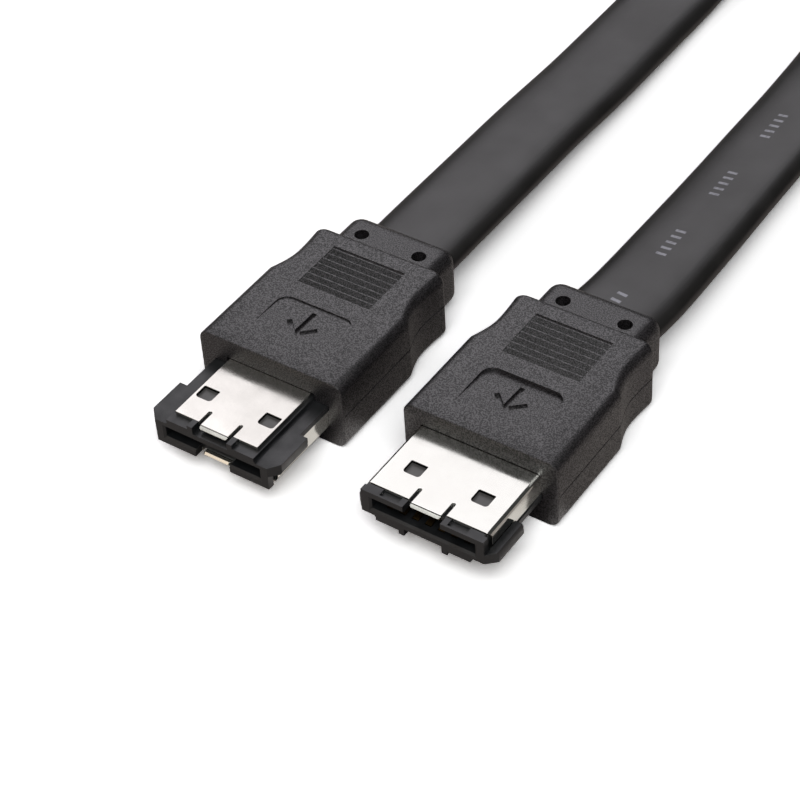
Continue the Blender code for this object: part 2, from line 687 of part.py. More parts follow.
def wire(name, i, x, plug):
    look = TINNED_COPPER if i in DRAIN_POSITIONS else WIRE_INSULATION
    end = CABLE_START - FIT
    mesh = rod_mesh("rod", wire_size(i) / 2, NOSE_INSIDE + 2 * FIT, end, x, wire_height(i), 10)
    item = add(name, mesh, parts, plug, look)
    smooth(item)
    return item


def inner_mould(prefix, plug):
    """The first shot of plastic, which fixes the soldered conductors before the overmould."""
    half = INNER_MOULD_WIDTH / 2
    rise = INNER_MOULD_HEIGHT / 2
    end = INNER_MOULD_START + INNER_MOULD_LENGTH
    low = (-half, INNER_MOULD_START, BODY_MIDDLE - rise)
    item = add(prefix + "inner_mould", box_mesh("mould", low, (half, end, BODY_MIDDLE + rise)),
               parts, plug, INNER_MOULD_WHITE)
    for i, x in enumerate(contact_places()):
        radius = wire_size(i) / 2 + 1.5 * FIT
        bore = rod_mesh("bore", radius, INNER_MOULD_START - PAST, end + PAST, x, wire_height(i), 10)
        combine(item, bore, "DIFFERENCE", plug)
    return item


def strain_clamp(prefix, plug):
    """A crimped metal band round the cable, held by the overmould."""
    inner = 4 * FIT
    outer = inner + 2 * CLAMP_GAUGE
    end = CLAMP_START + CLAMP_LENGTH
    band = stadium(CABLE_WIDTH + outer, CABLE_THICKNESS + outer, BODY_MIDDLE, 6)
    hole = stadium(CABLE_WIDTH + inner, CABLE_THICKNESS + inner, BODY_MIDDLE, 6)
    mesh = facing_out(prism_mesh("band", band, CLAMP_START, end, ALONG_Y))
    item = add(prefix + "strain_clamp", mesh, parts, plug, NICKEL)
    room = facing_out(prism_mesh("band_hole", hole, CLAMP_START - PAST, end + PAST, ALONG_Y))
    combine(item, room, "DIFFERENCE", plug)
    return item


def plug_assembly(prefix, place, rolled):
    plug = bpy.data.objects.new(prefix + "frame", None)
    parts.objects.link(plug)
    plug.location = (place.x, place.y, BODY_HEIGHT if rolled else 0)
    plug.rotation_euler = (0, math.pi if rolled else 0, 0)
    overmould(prefix, plug)
    shell_wide(prefix, plug)
    shell_narrow(prefix, plug)
    insulator(prefix, plug)
    inner_mould(prefix, plug)
    strain_clamp(prefix, plug)
    for i, x in enumerate(contact_places()):
        contact(f"{prefix}contact_{i + 1}", x, plug)
        wire(f"{prefix}wire_{i + 1}", i, x, plug)


def smooth_route(points, steps):
    """Points on a Catmull-Rom curve through a route's own points, each x, y, z and turn."""
    rows = [Vector(point) for point in points]
    rows = [2 * rows[0] - rows[1]] + rows + [2 * rows[-1] - rows[-2]]
    route = []
    for before, a, b, after in zip(rows, rows[1:], rows[2:], rows[3:]):
        for i in range(steps):
            t = i / steps
            bend = (2 * before - 5 * a + 4 * b - after) * t ** 2
            ease = (3 * a - before - 3 * b + after) * t ** 3
            route.append(0.5 * (2 * a + (b - before) * t + bend + ease))
    route.append(rows[-2])
    return route


def run_route(points, strand):
    """A run's route in metres, ended just before the solid of the coil, straight and on edge."""
    radius = COIL_INNER + COIL_STEP * strand
    meeting = math.sqrt(COIL_OUTSIDE ** 2 - (radius - CABLE_THICKNESS / 2) ** 2)
    join = (COIL_CENTRE.x - radius, COIL_CENTRE.y - meeting - SEAT, COIL_MIDDLE)
    rows = [(x * MM, y * MM, z * MM, turn) for x, y, z, turn in points]
    return smooth_route(rows + [(*join, 90)], ROUTE_STEPS)


def bight_route():
    """The middle of the cable, an S through the coil's centre between its two innermost strands."""
    radius = COIL_INNER / 2
    points = arc((-radius, 0), radius, 180 - BIGHT_TRIM * 2, 0, 10)
    points += arc((radius, 0), radius, 180, 360 - BIGHT_TRIM * 2, 10)[1:]
    return [Vector((COIL_CENTRE.x + x, COIL_CENTRE.y + y, COIL_MIDDLE, 90)) for x, y in points]


def flat_cable(name, route):
    """A flat section with round edges swept along a route, turned on edge where the route says."""
    curve = bpy.data.curves.new(name, "CURVE")
    curve.dimensions = "3D"
    curve.twist_mode = "Z_UP"
    curve.fill_mode = "FULL"
    curve.bevel_depth = CABLE_THICKNESS / 2
    curve.bevel_resolution = CABLE_SIDES
    curve.extrude = (CABLE_WIDTH - CABLE_THICKNESS) / 2
    curve.use_fill_caps = True
    spline = curve.splines.new("POLY")
    spline.points.add(len(route) - 1)
    for point, (x, y, z, turn) in zip(spline.points, route):
        point.co = (x, y, z, 1)
        point.tilt = math.radians(90 - turn)
    item = bpy.data.objects.new(name, curve)
    parts.objects.link(item)
    curve.materials.append(JACKET_BLACK)
    return item


def coil_solid():
    """The outer shape of the wound strands, a ring turned about the coil's centre."""
    outer, inner = COIL_OUTSIDE, COIL_INSIDE
    round_edge = CABLE_THICKNESS / 2
    low, high = COIL_LIFT, COIL_LIFT + CABLE_WIDTH
    profile = arc((outer - round_edge, high - round_edge), round_edge, 90, 0, 3)
    profile += arc((outer - round_edge, low + round_edge), round_edge, 0, -90, 3)
    profile += arc((inner + round_edge, low + round_edge), round_edge, 270, 180, 3)
    profile += arc((inner + round_edge, high - round_edge), round_edge, 180, 90, 3)
    shape = bmesh.new()
    vertices = [shape.verts.new((radius, 0, z)) for radius, z in profile]
    for a, b in zip(vertices, vertices[1:] + vertices[:1]):
        shape.edges.new((a, b))
    mesh = bpy.data.meshes.new("ring_profile")
    shape.to_mesh(mesh)
    shape.free()
    item = add("cable_coil", mesh, parts, look=JACKET_BLACK)
    item.location = (COIL_CENTRE.x, COIL_CENTRE.y, 0)
    turn = item.modifiers.new("turn", "SCREW")
    turn.steps = turn.render_steps = 48
    turn.use_merge_vertices = True
    turn.merge_threshold = 0.01 * MM
    turn.use_normal_calculate = True
    return item


def coil_tie(name, degrees):
    """A strap closed round the wound strands, on which the coil rests."""
    outer, inner = COIL_OUTSIDE + SEAT, COIL_INSIDE - TIE_SLACK
    low, high = COIL_LIFT - SEAT + FIT, COIL_LIFT + CABLE_WIDTH + SEAT
    thick = TIE_THICKNESS
    half = TIE_WIDTH / 2
    mesh = box_mesh("strap", (inner - thick, -half, low - thick), (outer + thick, half, high + thick))
    item = add(name, mesh, parts, look=TIE_BLACK)
    room = box_mesh("strap_room", (inner, -half - PAST, low), (outer, half + PAST, high))
    turn = Matrix.Rotation(math.radians(degrees), 4, "Z")
    place = Matrix.Translation((COIL_CENTRE.x, COIL_CENTRE.y, 0)) @ turn
    item.matrix_world = place
    combine(item, room, "DIFFERENCE", None)
    bpy.data.objects[item.modifiers[0].name].matrix_world = place
    return item


plug_assembly("plug_a_", PLUG_A_PLACE, rolled=True)
plug_assembly("plug_b_", PLUG_B_PLACE, rolled=False)
flat_cable("cable_run_a", run_route(RUN_A, strand=3))
flat_cable("cable_run_b", run_route(RUN_B, strand=2))
flat_cable("cable_bight", bight_route())
coil_solid()
for tie_number, tie_angle in enumerate(TIE_ANGLES, start=1):
    coil_tie(f"coil_tie_{tie_number}", tie_angle)
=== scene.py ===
"""The looks of an external serial drive cable: two moulded plugs on one flat black cord.

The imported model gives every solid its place. Each section below dresses one piece of it, in the
order in which the cable is put together.
"""

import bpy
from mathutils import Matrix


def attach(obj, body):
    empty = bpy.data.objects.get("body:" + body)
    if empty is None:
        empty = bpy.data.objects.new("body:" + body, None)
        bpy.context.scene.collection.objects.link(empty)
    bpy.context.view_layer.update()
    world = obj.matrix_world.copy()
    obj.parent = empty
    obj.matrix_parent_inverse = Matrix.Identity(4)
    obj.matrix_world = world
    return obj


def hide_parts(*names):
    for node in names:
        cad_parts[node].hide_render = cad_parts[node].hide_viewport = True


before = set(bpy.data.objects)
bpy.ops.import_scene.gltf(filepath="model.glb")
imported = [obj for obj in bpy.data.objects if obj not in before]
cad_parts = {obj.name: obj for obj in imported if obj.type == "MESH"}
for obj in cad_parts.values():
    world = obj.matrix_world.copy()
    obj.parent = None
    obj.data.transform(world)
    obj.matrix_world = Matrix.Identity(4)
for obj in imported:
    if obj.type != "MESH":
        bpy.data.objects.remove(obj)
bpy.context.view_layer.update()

import math

import bmesh
import bpy
from mathutils import Euler, Matrix, Vector

# The studio
# A white table under two softboxes behind and on the left, two weak cards and a wide front lamp.
# Reflections see it dimmer than the camera does, darkest under the noses, brighter beside the shells.

mm = 0.001

camera_data = bpy.data.cameras.new("camera")
camera_data.lens = 105.45
camera_data.sensor_width = 36.0
camera_data.clip_start = 0.01
camera = bpy.data.objects.new("camera", camera_data)
camera.location = (0.089266, -0.121643, 0.141885)
camera.rotation_euler = Euler(math.radians(angle) for angle in (47.036, 3.042, 33.975))
bpy.context.scene.collection.objects.link(camera)
bpy.context.scene.camera = camera
bpy.context.scene.view_settings.view_transform = "Standard"


def put(tree, value, socket):
    """Links a shader value to a socket, or sets the socket to a plain number or colour."""
    if isinstance(value, Value):
        tree.links.new(value.socket, socket)
    else:
        socket.default_value = value


class Value:
    """A shader socket that can be used in sums."""

    def __init__(self, tree, socket):
        self.tree = tree
        self.socket = socket

    def maths(self, operation, first, second=0.0):
        node = self.tree.nodes.new("ShaderNodeMath")
        node.operation = operation
        for socket, value in zip(node.inputs, (first, second)):
            put(self.tree, value, socket)
        return Value(self.tree, node.outputs[0])

    def __add__(self, other):
        return self.maths("ADD", self, other)

    def __radd__(self, other):
        return self.maths("ADD", other, self)

    def __sub__(self, other):
        return self.maths("SUBTRACT", self, other)

    def __rsub__(self, other):
        return self.maths("SUBTRACT", other, self)

    def __mul__(self, other):
        return self.maths("MULTIPLY", self, other)

    def __rmul__(self, other):
        return self.maths("MULTIPLY", other, self)

    def __abs__(self):
        return self.maths("ABSOLUTE", self)


class Finish:
    """A material, its shader's plain settings and the nodes that vary it over the surface."""

    def __init__(self, name, **settings):
        self.material = bpy.data.materials.new(name)
        self.material.use_nodes = True
        self.tree = self.material.node_tree
        self.shader = self.tree.nodes["Principled BSDF"]
        for socket, value in settings.items():
            self.shader.inputs[socket.replace("_", " ")].default_value = value
        self.place = self.node("ShaderNodeTexCoord", output="Object")

    def node(self, kind, settings=(), output=0, **inputs):
        """A node of a kind, with its settings made first, and then its sockets' values or links."""
        node = self.tree.nodes.new(kind)
        for name, value in dict(settings).items():
            setattr(node, name, value)
        for name, value in inputs.items():
            put(self.tree, value, node.inputs[name.replace("_", " ")])
        return Value(self.tree, node.outputs[output])

    def parts(self, vector):
        """A vector's three numbers."""
        node = self.tree.nodes.new("ShaderNodeSeparateXYZ")
        self.tree.links.new(vector.socket, node.inputs[0])
        return [Value(self.tree, output) for output in node.outputs]

    def noise(self, size, detail=2.0, roughness=0.5, place=None):
        """Noise from 0 to 1 whose lumps are about size metres across."""
        return self.node("ShaderNodeTexNoise", Vector=place or self.place, Scale=1 / size,
                         Detail=detail, Roughness=roughness)

    def spread(self, value, low, high, to_low=0.0, to_high=1.0):
        """A value's range low to high stretched to another range, and held at its ends."""
        node = self.tree.nodes.new("ShaderNodeMapRange")
        self.tree.links.new(value.socket, node.inputs["Value"])
        for socket, number in zip(node.inputs[1:5], (low, high, to_low, to_high)):
            socket.default_value = number
        return Value(self.tree, node.outputs[0])

    def inside(self, value, near, far):
        """1 up to a near distance, and 0 from a far one on."""
        return self.spread(value, near, far, 1.0, 0.0)

    def blend(self, share, first, second):
        """A colour between two colours, which are the mix node's sockets 6 and 7."""
        node = self.tree.nodes.new("ShaderNodeMix")
        node.data_type = "RGBA"
        for number, value in ((0, share), (6, first), (7, second)):
            put(self.tree, value, node.inputs[number])
        return Value(self.tree, node.outputs[2])

    def bump(self, height, depth):
        """Surface relief whose full height is depth metres."""
        return self.node("ShaderNodeBump", Height=height, Strength=1.0, Distance=depth)

    def feed(self, **links):
        for socket, value in links.items():
            self.tree.links.new(value.socket, self.shader.inputs[socket.replace("_", " ")])


def grey(level, warmth=0.0):
    """A nearly neutral colour of a screen brightness from 0 to 1."""
    red, green, blue = level + warmth, level, level - warmth
    return tuple(max(channel, 0.0) ** 2.2 for channel in (red, green, blue)) + (1.0,)


floor_mesh = bpy.data.meshes.new("table")
table_shape = bmesh.new()
bmesh.ops.create_grid(table_shape, x_segments=1, y_segments=1, size=4.0)
table_shape.to_mesh(floor_mesh)
table_shape.free()
floor = bpy.data.objects.new("table", floor_mesh)
floor.location.z = -0.00002
bpy.context.scene.collection.objects.link(floor)

table_finish = Finish("table_white", Roughness=1.0, Specular_IOR_Level=0.0)
table_links = table_finish.tree.links
sideways, forwards, _ = table_finish.parts(table_finish.place)


def patch(middle, near, far, axis=0.0):
    """1 on an oblong of the table and its mirror image across an axis, fading from near to far."""
    off = abs(abs(sideways - axis * mm) - middle[0] * mm)
    side = table_finish.inside(off, near[0] * mm, far[0] * mm)
    ahead = table_finish.inside(abs(forwards - middle[1] * mm), near[1] * mm, far[1] * mm)
    return side * ahead


nose_shade = patch((10.8, -9.0), (5.5, 3.7), (7.5, 6.7))
gap_shade = patch((0.0, 6.0), (2.5, 9.0), (4.5, 12.0)) * 0.4
shade = nose_shade.maths("MAXIMUM", nose_shade, gap_shade)
wall_light = patch((10.4, -9.0), (1.2, 4.5), (2.4, 6.0), axis=8.0)
lit_table = table_finish.blend(wall_light, (0.38, 0.345, 0.325, 1.0), (0.98, 0.93, 0.9, 1.0))
table_finish.feed(Base_Color=table_finish.blend(shade, lit_table, (0.07, 0.062, 0.06, 1.0)))

camera_ray = table_finish.node("ShaderNodeLightPath", output="Is Camera Ray")
seen_white = table_finish.node("ShaderNodeBsdfDiffuse", Color=(1.6, 1.6, 1.6, 1.0))
seen_glow = table_finish.node("ShaderNodeEmission", Color=(1.0, 1.0, 1.0, 1.0), Strength=0.02)
seen_sum = table_finish.tree.nodes.new("ShaderNodeAddShader")
table_links.new(seen_white.socket, seen_sum.inputs[0])
table_links.new(seen_glow.socket, seen_sum.inputs[1])
pick = table_finish.tree.nodes.new("ShaderNodeMixShader")
table_links.new(camera_ray.socket, pick.inputs[0])
table_links.new(table_finish.shader.outputs[0], pick.inputs[1])
table_links.new(seen_sum.outputs[0], pick.inputs[2])
table_links.new(pick.outputs[0], table_finish.tree.nodes["Material Output"].inputs["Surface"])
floor_mesh.materials.append(table_finish.material)


def softbox(name, place, size, power, colour=(1.0, 1.0, 1.0)):
    """A soft lamp that faces the middle of the table."""
    lamp = bpy.data.lights.new(name, "AREA")
    lamp.shape = "RECTANGLE"
    lamp.size, lamp.size_y = size
    lamp.energy = power
    lamp.color = colour
    stand = bpy.data.objects.new(name, lamp)
    stand.location = place
    stand.rotation_euler = (-Vector(place)).to_track_quat("-Z", "Y").to_euler()
    bpy.context.scene.collection.objects.link(stand)


cool, warm = (0.985, 0.955, 1.0), (1.0, 0.84, 0.7)
softbox("softbox_back_left", (-0.345, 0.61, 0.65), (0.68, 0.75), 1.8, cool)
softbox("softbox_left", (-0.634, 0.296, 0.65), (0.5, 0.75), 0.42, cool)
softbox("card_front_left", (-0.4, -0.76, 0.3), (0.5, 0.35), 0.5, warm)
softbox("card_over_left", (-0.385, -0.365, 0.6), (0.24, 0.24), 0.17)
softbox("lamp_front", (0.4, -0.53, 0.95), (0.9, 0.9), 10.9)

world = bpy.data.worlds.new("studio_air")
bpy.context.scene.world = world
world.use_nodes = True
background = world.node_tree.nodes["Background"]
background.inputs["Color"].default_value = (1.0, 1.0, 1.0, 1.0)
background.inputs["Strength"].default_value = 0.045

# The flat cord
# A shielded pair cable in a soft satin black jacket, wider than thick, with round edges. It leaves
# plug a, is wound double into a coil from its middle, and comes back to plug b.

cable_width = 9.5 * mm
cable_thickness = 2.8 * mm
coil_centre = Vector((46.75, 122.0)) * mm
coil_inner = 38.0 * mm
strand_step = 3.5 * mm
coil_height = 5.5 * mm
turns_a = 1.5
turns_b = 1.0

run_a = (
    (-10.38, 6.5, 3.6, 0), (-10.38, 13.0, 3.6, 0), (-10.42, 20.0, 3.55, 0), (-10.54, 28.0, 3.3, 0),
    (-10.83, 38.0, 2.8, 0), (-10.88, 48.0, 2.3, 0), (-11.14, 57.0, 1.9, 0), (-11.36, 66.0, 1.6, 0),
    (-11.15, 74.0, 1.95, 7), (-10.1, 81.0, 3.1, 26), (-8.2, 88.0, 4.3, 52), (-5.8, 95.0, 5.1, 75),
    (-3.5, 102.0, 5.5, 87), (-1.75, 111.5, 5.5, 90), (-1.75, 122.0, 5.5, 90),
)
run_b = (
    (10.38, 7.84, 3.6, 0), (10.38, 14.3, 3.6, 0), (10.82, 20.0, 3.6, 1), (10.64, 29.0, 3.1, 3),
    (10.29, 39.0, 2.5, 5.5), (10.08, 48.0, 2.2, 6), (9.9, 56.0, 2.15, 9), (9.4, 64.0, 2.75, 20),
    (8.3, 72.0, 3.8, 39), (6.5, 80.0, 4.75, 61), (4.4, 88.0, 5.35, 80), (2.7, 95.0, 5.5, 88),
    (1.75, 101.2, 5.5, 90), (1.75, 112.0, 5.5, 90), (1.75, 122.0, 5.5, 90),
)


def smooth_route(points, steps=8):
    """Points on a smooth curve through a route's own points, each x, y, z and turn on edge."""
    rows = [Vector(point) for point in points]
    rows = [2 * rows[0] - rows[1]] + rows + [2 * rows[-1] - rows[-2]]
    route = []
    for before, a, b, after in zip(rows, rows[1:], rows[2:], rows[3:]):
        for i in range(steps):
            t = i / steps
            square, cube = 2 * before - 5 * a + 4 * b - after, 3 * a - before - 3 * b + after
            route.append(0.5 * (2 * a + (b - before) * t + square * t ** 2 + cube * t ** 3))
    return [Vector((x * mm, y * mm, z * mm, turn)) for x, y, z, turn in route + [rows[-2]]]


def in_coil(x, y):
    """A route point of the wound cord, which stands on edge. x and y start at the coil's centre."""
    return Vector((coil_centre.x + x, coil_centre.y + y, coil_height, 90))


def coil_arm(first_angle, turns):
    """An outward spiral in the coil."""
    steps = round(100 * turns)
    points = []
    for i in range(steps + 1):
        turned = turns * i / steps
        radius = coil_inner + 2 * strand_step * turned
        angle = math.radians(first_angle + 360 * turned)
        points.append(in_coil(radius * math.cos(angle), radius * math.sin(angle)))
    return points


def bight(side, steps=30):
    """Half of the S in the middle of the coil, from an arm's start to the coil's centre."""
    radius = side * coil_inner / 2
    angles = [math.radians(180 * i / steps) for i in range(steps + 1)]
    return [in_coil(radius * (1 + math.cos(angle)), -radius * math.sin(angle)) for angle in angles]


out_a = smooth_route(run_a)
arm_a = coil_arm(0, turns_a)
arm_b = coil_arm(180, turns_b)
back_b = smooth_route(run_b)
whole_route = out_a + arm_a[-2::-1] + bight(1)[1:] + bight(-1)[-2::-1] + arm_b[1:]
whole_route += [Vector((*point.xyz, 180 - point[3])) for point in back_b[-2::-1]]


def jacket_section():
    """Half of the jacket's outline, across and through: slightly crowned, with round edges."""
    steps, flatness, crown = 28, 0.66, 0.92
    points = []
    for i in range(steps + 1):
        across = math.cos(math.radians(180 * (1 - i / steps)))
        through = math.sqrt(1 - across ** 2)
        points.append((math.copysign(abs(across) ** flatness, across) * cable_width / 2,
                       through ** crown * cable_thickness / 2))
    return points


def swept_cord(route):
    """The jacket as one closed skin, with a map along and across the cord in millimetres.

    On that map, the wide side without print is moved away across the cord.
    """
    shape = bmesh.new()
    layer = shape.loops.layers.uv.new("along")
    half_section = jacket_section()
    section = half_section + [(-w, -n) for w, n in half_section[1:-1]]
    rings, marks, travelled = [], [], 0.0
    for i, point in enumerate(route):
        ahead, behind = route[min(i + 1, len(route) - 1)], route[max(i - 1, 0)]
        along = (ahead.xyz - behind.xyz).normalized()
        right = along.cross(Vector((0, 0, 1))).normalized()
        rise = right.cross(along)
        turn = math.radians(point[3])
        wide = right * math.cos(turn) + rise * math.sin(turn)
        through = wide.cross(along)
        rings.append([shape.verts.new(point.xyz + wide * w + through * n) for w, n in section])
        marks.append(travelled / mm)
        travelled += (ahead.xyz - point.xyz).length
    count = len(section)
    for ring, (first, second) in enumerate(zip(rings, rings[1:])):
        for i in range(count):
            j = (i + 1) % count
            face = shape.faces.new((first[i], first[j], second[j], second[i]))
            places = ((i, ring), (j, ring), (j, ring + 1), (i, ring + 1))
            away = 40.0 if i < len(half_section) - 1 else 0.0
            for corner, (k, m) in zip(face.loops, places):
                corner[layer].uv = (marks[m], section[k][0] / mm + away)
    for ring in (rings[0], rings[-1]):
        shape.faces.new(ring)
    bmesh.ops.recalc_face_normals(shape, faces=shape.faces)
    mesh = bpy.data.meshes.new("flat_cord")
    shape.to_mesh(mesh)
    shape.free()
    mesh.shade_smooth()
    return mesh


cord_mesh = swept_cord(whole_route)
cord_mesh.set_sharp_from_angle(angle=math.radians(60))
cord = bpy.data.objects.new("flat_cord", cord_mesh)
bpy.context.scene.collection.objects.link(cord)

jacket = Finish("jacket_satin_black", Base_Color=grey(0.1), Roughness=0.38, Specular_IOR_Level=1.0)
jacket_map = jacket.node("ShaderNodeTexCoord", output="UV")
drawn = jacket.node("ShaderNodeMapping", Vector=jacket_map, Scale=(0.04, 1.0, 1.0))
draw_lines = jacket.noise(1.1, detail=3.0, place=drawn)
cloud = jacket.noise(4.0 * mm, detail=3.0)
specks = jacket.noise(0.3 * mm, detail=1.0)
print_line, half_bar_pitch, half_group_pitch = -0.3, 0.5, 5.5
along, across, _ = jacket.parts(jacket_map)
in_line = jacket.inside(abs(across - print_line), 0.46, 0.55)
in_bar = jacket.inside(along.maths("PINGPONG", along, half_bar_pitch), 0.14, 0.21)
in_group = jacket.inside(along.maths("PINGPONG", along, half_group_pitch), 2.5, 2.55)
ink = in_line * in_bar * in_group * jacket.spread(specks, 0.38, 0.5, 0.5, 0.8)
plain_black = jacket.blend(cloud, grey(0.085, 0.004), grey(0.125, 0.005))
jacket.feed(
    Normal=jacket.bump(draw_lines * 0.7 + cloud * 0.3, 0.03 * mm),
    Roughness=jacket.spread(cloud, 0.3, 0.7, 0.35, 0.42),
    Base_Color=jacket.blend(ink, plain_black, (0.33, 0.33, 0.38, 1.0)),
)
cord_mesh.materials.append(jacket.material)

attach(cord, "root")
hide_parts("cable_run_a", "cable_run_b", "cable_coil", "cable_bight")

# The overmoulds
# The black grained body round each plug's inner parts and the cord's end: waist, saw-tooth grip, label
# recess, parting line and neck. Plug a is rolled half a turn and shows the face with the narrow plate.

body_width, body_height, body_length, body_edge = 15.3, 7.2, 17.25, 1.0
plug_offset = 10.375
plug_a_front, plug_b_front = -7.025, -5.685
plug_places = {
    "plug_a": Matrix.Translation((-plug_offset * mm, plug_a_front * mm, body_height * mm))
    @ Matrix.Rotation(math.pi, 4, "Y"),
    "plug_b": Matrix.Translation((plug_offset * mm, plug_b_front * mm, 0.0)),
}

waist_start, waist_end, waist_width = 10.35, 13.7, 13.65
tail_width, tail_corner = 14.05, 0.5
front_round = 0.14
seam_height, seam_depth, seam_half = 3.5, 0.09, 0.07
neck_width, neck_height, neck_length = 11.3, 5.9, 4.3
neck_edge, neck_corner = 1.35, 1.4
grip_half, grip_start, grip_length, grip_pitch = 3.87, 9.78, 5.7, 0.78
grip_depth, crest_depth, crest_width, last_crest_depth = 0.42, 0.03, 0.12, 0.1
label_half, label_start, label_length, label_corner = 4.0, 2.5, 5.25, 1.2
label_depths = {1: 0.36, -1: 0.15}
pin_hole_radius, pin_hole_offset, pin_hole_place, pin_hole_floor = 0.69, 3.15, 18.75, 1.4
cord_clearance = 0.06


def arc(centre, radius, start, end, steps):
    """Points on an arc, angles in degrees."""
    angles = [math.radians(start + (end - start) * i / steps) for i in range(steps + 1)]
    return [(centre[0] + radius * math.cos(a), centre[1] + radius * math.sin(a)) for a in angles]


def both_sides(right_side):
    """A closed outline from the points of its right side and their mirror images."""
    return right_side + [(-x, y) for x, y in reversed(right_side)]


def ring_of(shape, points):
    """A closed loop of edges through points."""
    verts = [shape.verts.new(point) for point in points]
    edges = [shape.edges.new(pair) for pair in zip(verts, verts[1:] + verts[:1])]
    return verts, edges


def body_station(y, half, low, high, corner):
    """A rounded oblong across the body, with the parting line's fine groove in both sides."""
    across = half - corner
    groove = seam_depth if 0.5 < y < body_length - 0.1 else 0.0
    right = arc((across, low + corner), corner, -90, 0, 8)
    right += [(half, seam_height - seam_half), (half - groove, seam_height)]
    right.append((half, seam_height + seam_half))
    right += arc((across, high - corner), corner, 0, 90, 8)
    return [(x, y, z) for x, z in both_sides(right)]


def body_stations():
    """Places along the body, each with its half width and how far top and bottom draw in there."""
    half, waist, tail = body_width / 2, waist_width / 2, tail_width / 2
    stations = []
    for inset, y in arc((front_round, front_round), front_round, 270, 180, 3):
        stations.append((y, half - inset, inset))
    stations += [(y, half, 0.0) for y in (0.3, 0.6, 2.5, 5.0, 7.5)]
    for i in range(11):
        share = i / 10
        width = half - (half - waist) * math.sin(share * math.pi / 2)
        stations.append((waist_start + share * (waist_end - waist_start), width, 0.0))
    corner = body_length - tail_corner
    for i in range(1, 8):
        share = i / 8
        width = waist + (tail - waist) * (1 - math.cos(share * math.pi / 2))
        stations.append((waist_end + share * (corner - waist_end), width, 0.0))
    for y, width in arc((corner, tail - tail_corner), tail_corner, 90, 0, 6):
        stations.append((y, width, 0.3 * (tail - width)))
    return stations


def loft(shape, rings):
    """Skins a row of equal rings and closes both ends."""
    loops = [ring_of(shape, points) for points in rings]
    for (_, first), (_, second) in zip(loops, loops[1:]):
        bmesh.ops.bridge_loops(shape, edges=first + second)
    for verts, _ in (loops[0], loops[-1]):
        shape.faces.new(verts)
    bmesh.ops.recalc_face_normals(shape, faces=shape.faces)


def slab(outline, low, high, plane="xy"):
    """A flat outline given a thickness. The plane names the two axes that the outline is drawn in."""
    shape = bmesh.new()
    lift = {
        "xy": lambda u, v, w: (u, v, w),
        "xz": lambda u, v, w: (u, w, v),
        "yz": lambda u, v, w: (w, u, v),
    }[plane]
    verts = [shape.verts.new(lift(u, v, low)) for u, v in outline]
    grown = bmesh.ops.extrude_face_region(shape, geom=[shape.faces.new(verts)])["geom"]
    top = [item for item in grown if isinstance(item, bmesh.types.BMVert)]
    bmesh.ops.translate(shape, verts=top, vec=lift(0, 0, high - low))
    bmesh.ops.recalc_face_normals(shape, faces=shape.faces)
    return shape


def block(low, high):
    shape = bmesh.new()
    size = [b - a for a, b in zip(low, high)]
    middle = [(a + b) / 2 for a, b in zip(low, high)]
    place = Matrix.Translation(middle) @ Matrix.Diagonal((*size, 1))
    bmesh.ops.create_cube(shape, size=1.0, matrix=place)
    return shape


def mesh_from(shape, name="draft"):
    mesh = bpy.data.meshes.new(name)
    shape.to_mesh(mesh)
    shape.free()
    return mesh


def in_one_order(shape):
    """The same mesh with its points and faces in an order that is the same in every run."""
    rank = Vector((0.917, 7.137, 53.317)).dot
    result = bmesh.new()
    by_place = sorted(shape.verts, key=lambda vert: rank(vert.co))
    twins = {vert: result.verts.new(vert.co) for vert in by_place}
    for face in sorted(shape.faces, key=lambda face: rank(face.calc_center_median())):
        corners = list(face.verts)
        first = corners.index(min(corners, key=lambda vert: rank(vert.co)))
        result.faces.new([twins[vert] for vert in corners[first:] + corners[:first]])
    shape.free()
    return result


def carved(shape, steps):
    """A shape cut or joined with others, as one plain mesh. Each step is an operation and a shape."""
    stock = bpy.data.objects.new("stock", mesh_from(shape))
    bpy.context.scene.collection.objects.link(stock)
    tools = []
    for operation, tool_shape in steps:
        tool = bpy.data.objects.new("tool", mesh_from(tool_shape))
        bpy.context.scene.collection.objects.link(tool)
        tools.append(tool)
        modifier = stock.modifiers.new("step", "BOOLEAN")
        modifier.operation = operation
        modifier.solver = "EXACT"
        modifier.object = tool
    graph = bpy.context.evaluated_depsgraph_get()
    mesh = bpy.data.meshes.new_from_object(stock.evaluated_get(graph))
    for spare in [stock] + tools:
        bpy.data.objects.remove(spare)
    result = bmesh.new()
    result.from_mesh(mesh)
    bpy.data.meshes.remove(mesh)
    result = in_one_order(result)
    bmesh.ops.remove_doubles(result, verts=result.verts, dist=0.0005)
    bmesh.ops.dissolve_limit(result, angle_limit=math.radians(0.3), verts=result.verts,
                             edges=result.edges)
    return result


def rounded(piece, radius, angle):
    """Rounds the edges of a piece that are sharper than an angle, by a radius in millimetres."""
    edge = piece.modifiers.new("edges", "BEVEL")
    edge.width = radius * mm
    edge.segments = 2
    edge.limit_method = "ANGLE"
    edge.angle_limit = math.radians(angle)
    return edge


def on_both_plugs(part, shape, finish, rounding):
    """Copies a plug's piece, drawn in millimetres in the plug's own frame, to both plugs."""
    draft = mesh_from(shape, part)
    for plug, place in plug_places.items():
        mesh = draft.copy()
        mesh.name = f"{plug}_{part}"
        mesh.transform(place @ Matrix.Scale(mm, 4))
        mesh.shade_smooth()
        mesh.materials.append(finish.material)
        piece = bpy.data.objects.new(f"{plug}_{part}_dressed", mesh)
        bpy.context.scene.collection.objects.link(piece)
        rounded(piece, rounding, 30).harden_normals = True
        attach(piece, "root")
        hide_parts(f"{plug}_{part}")


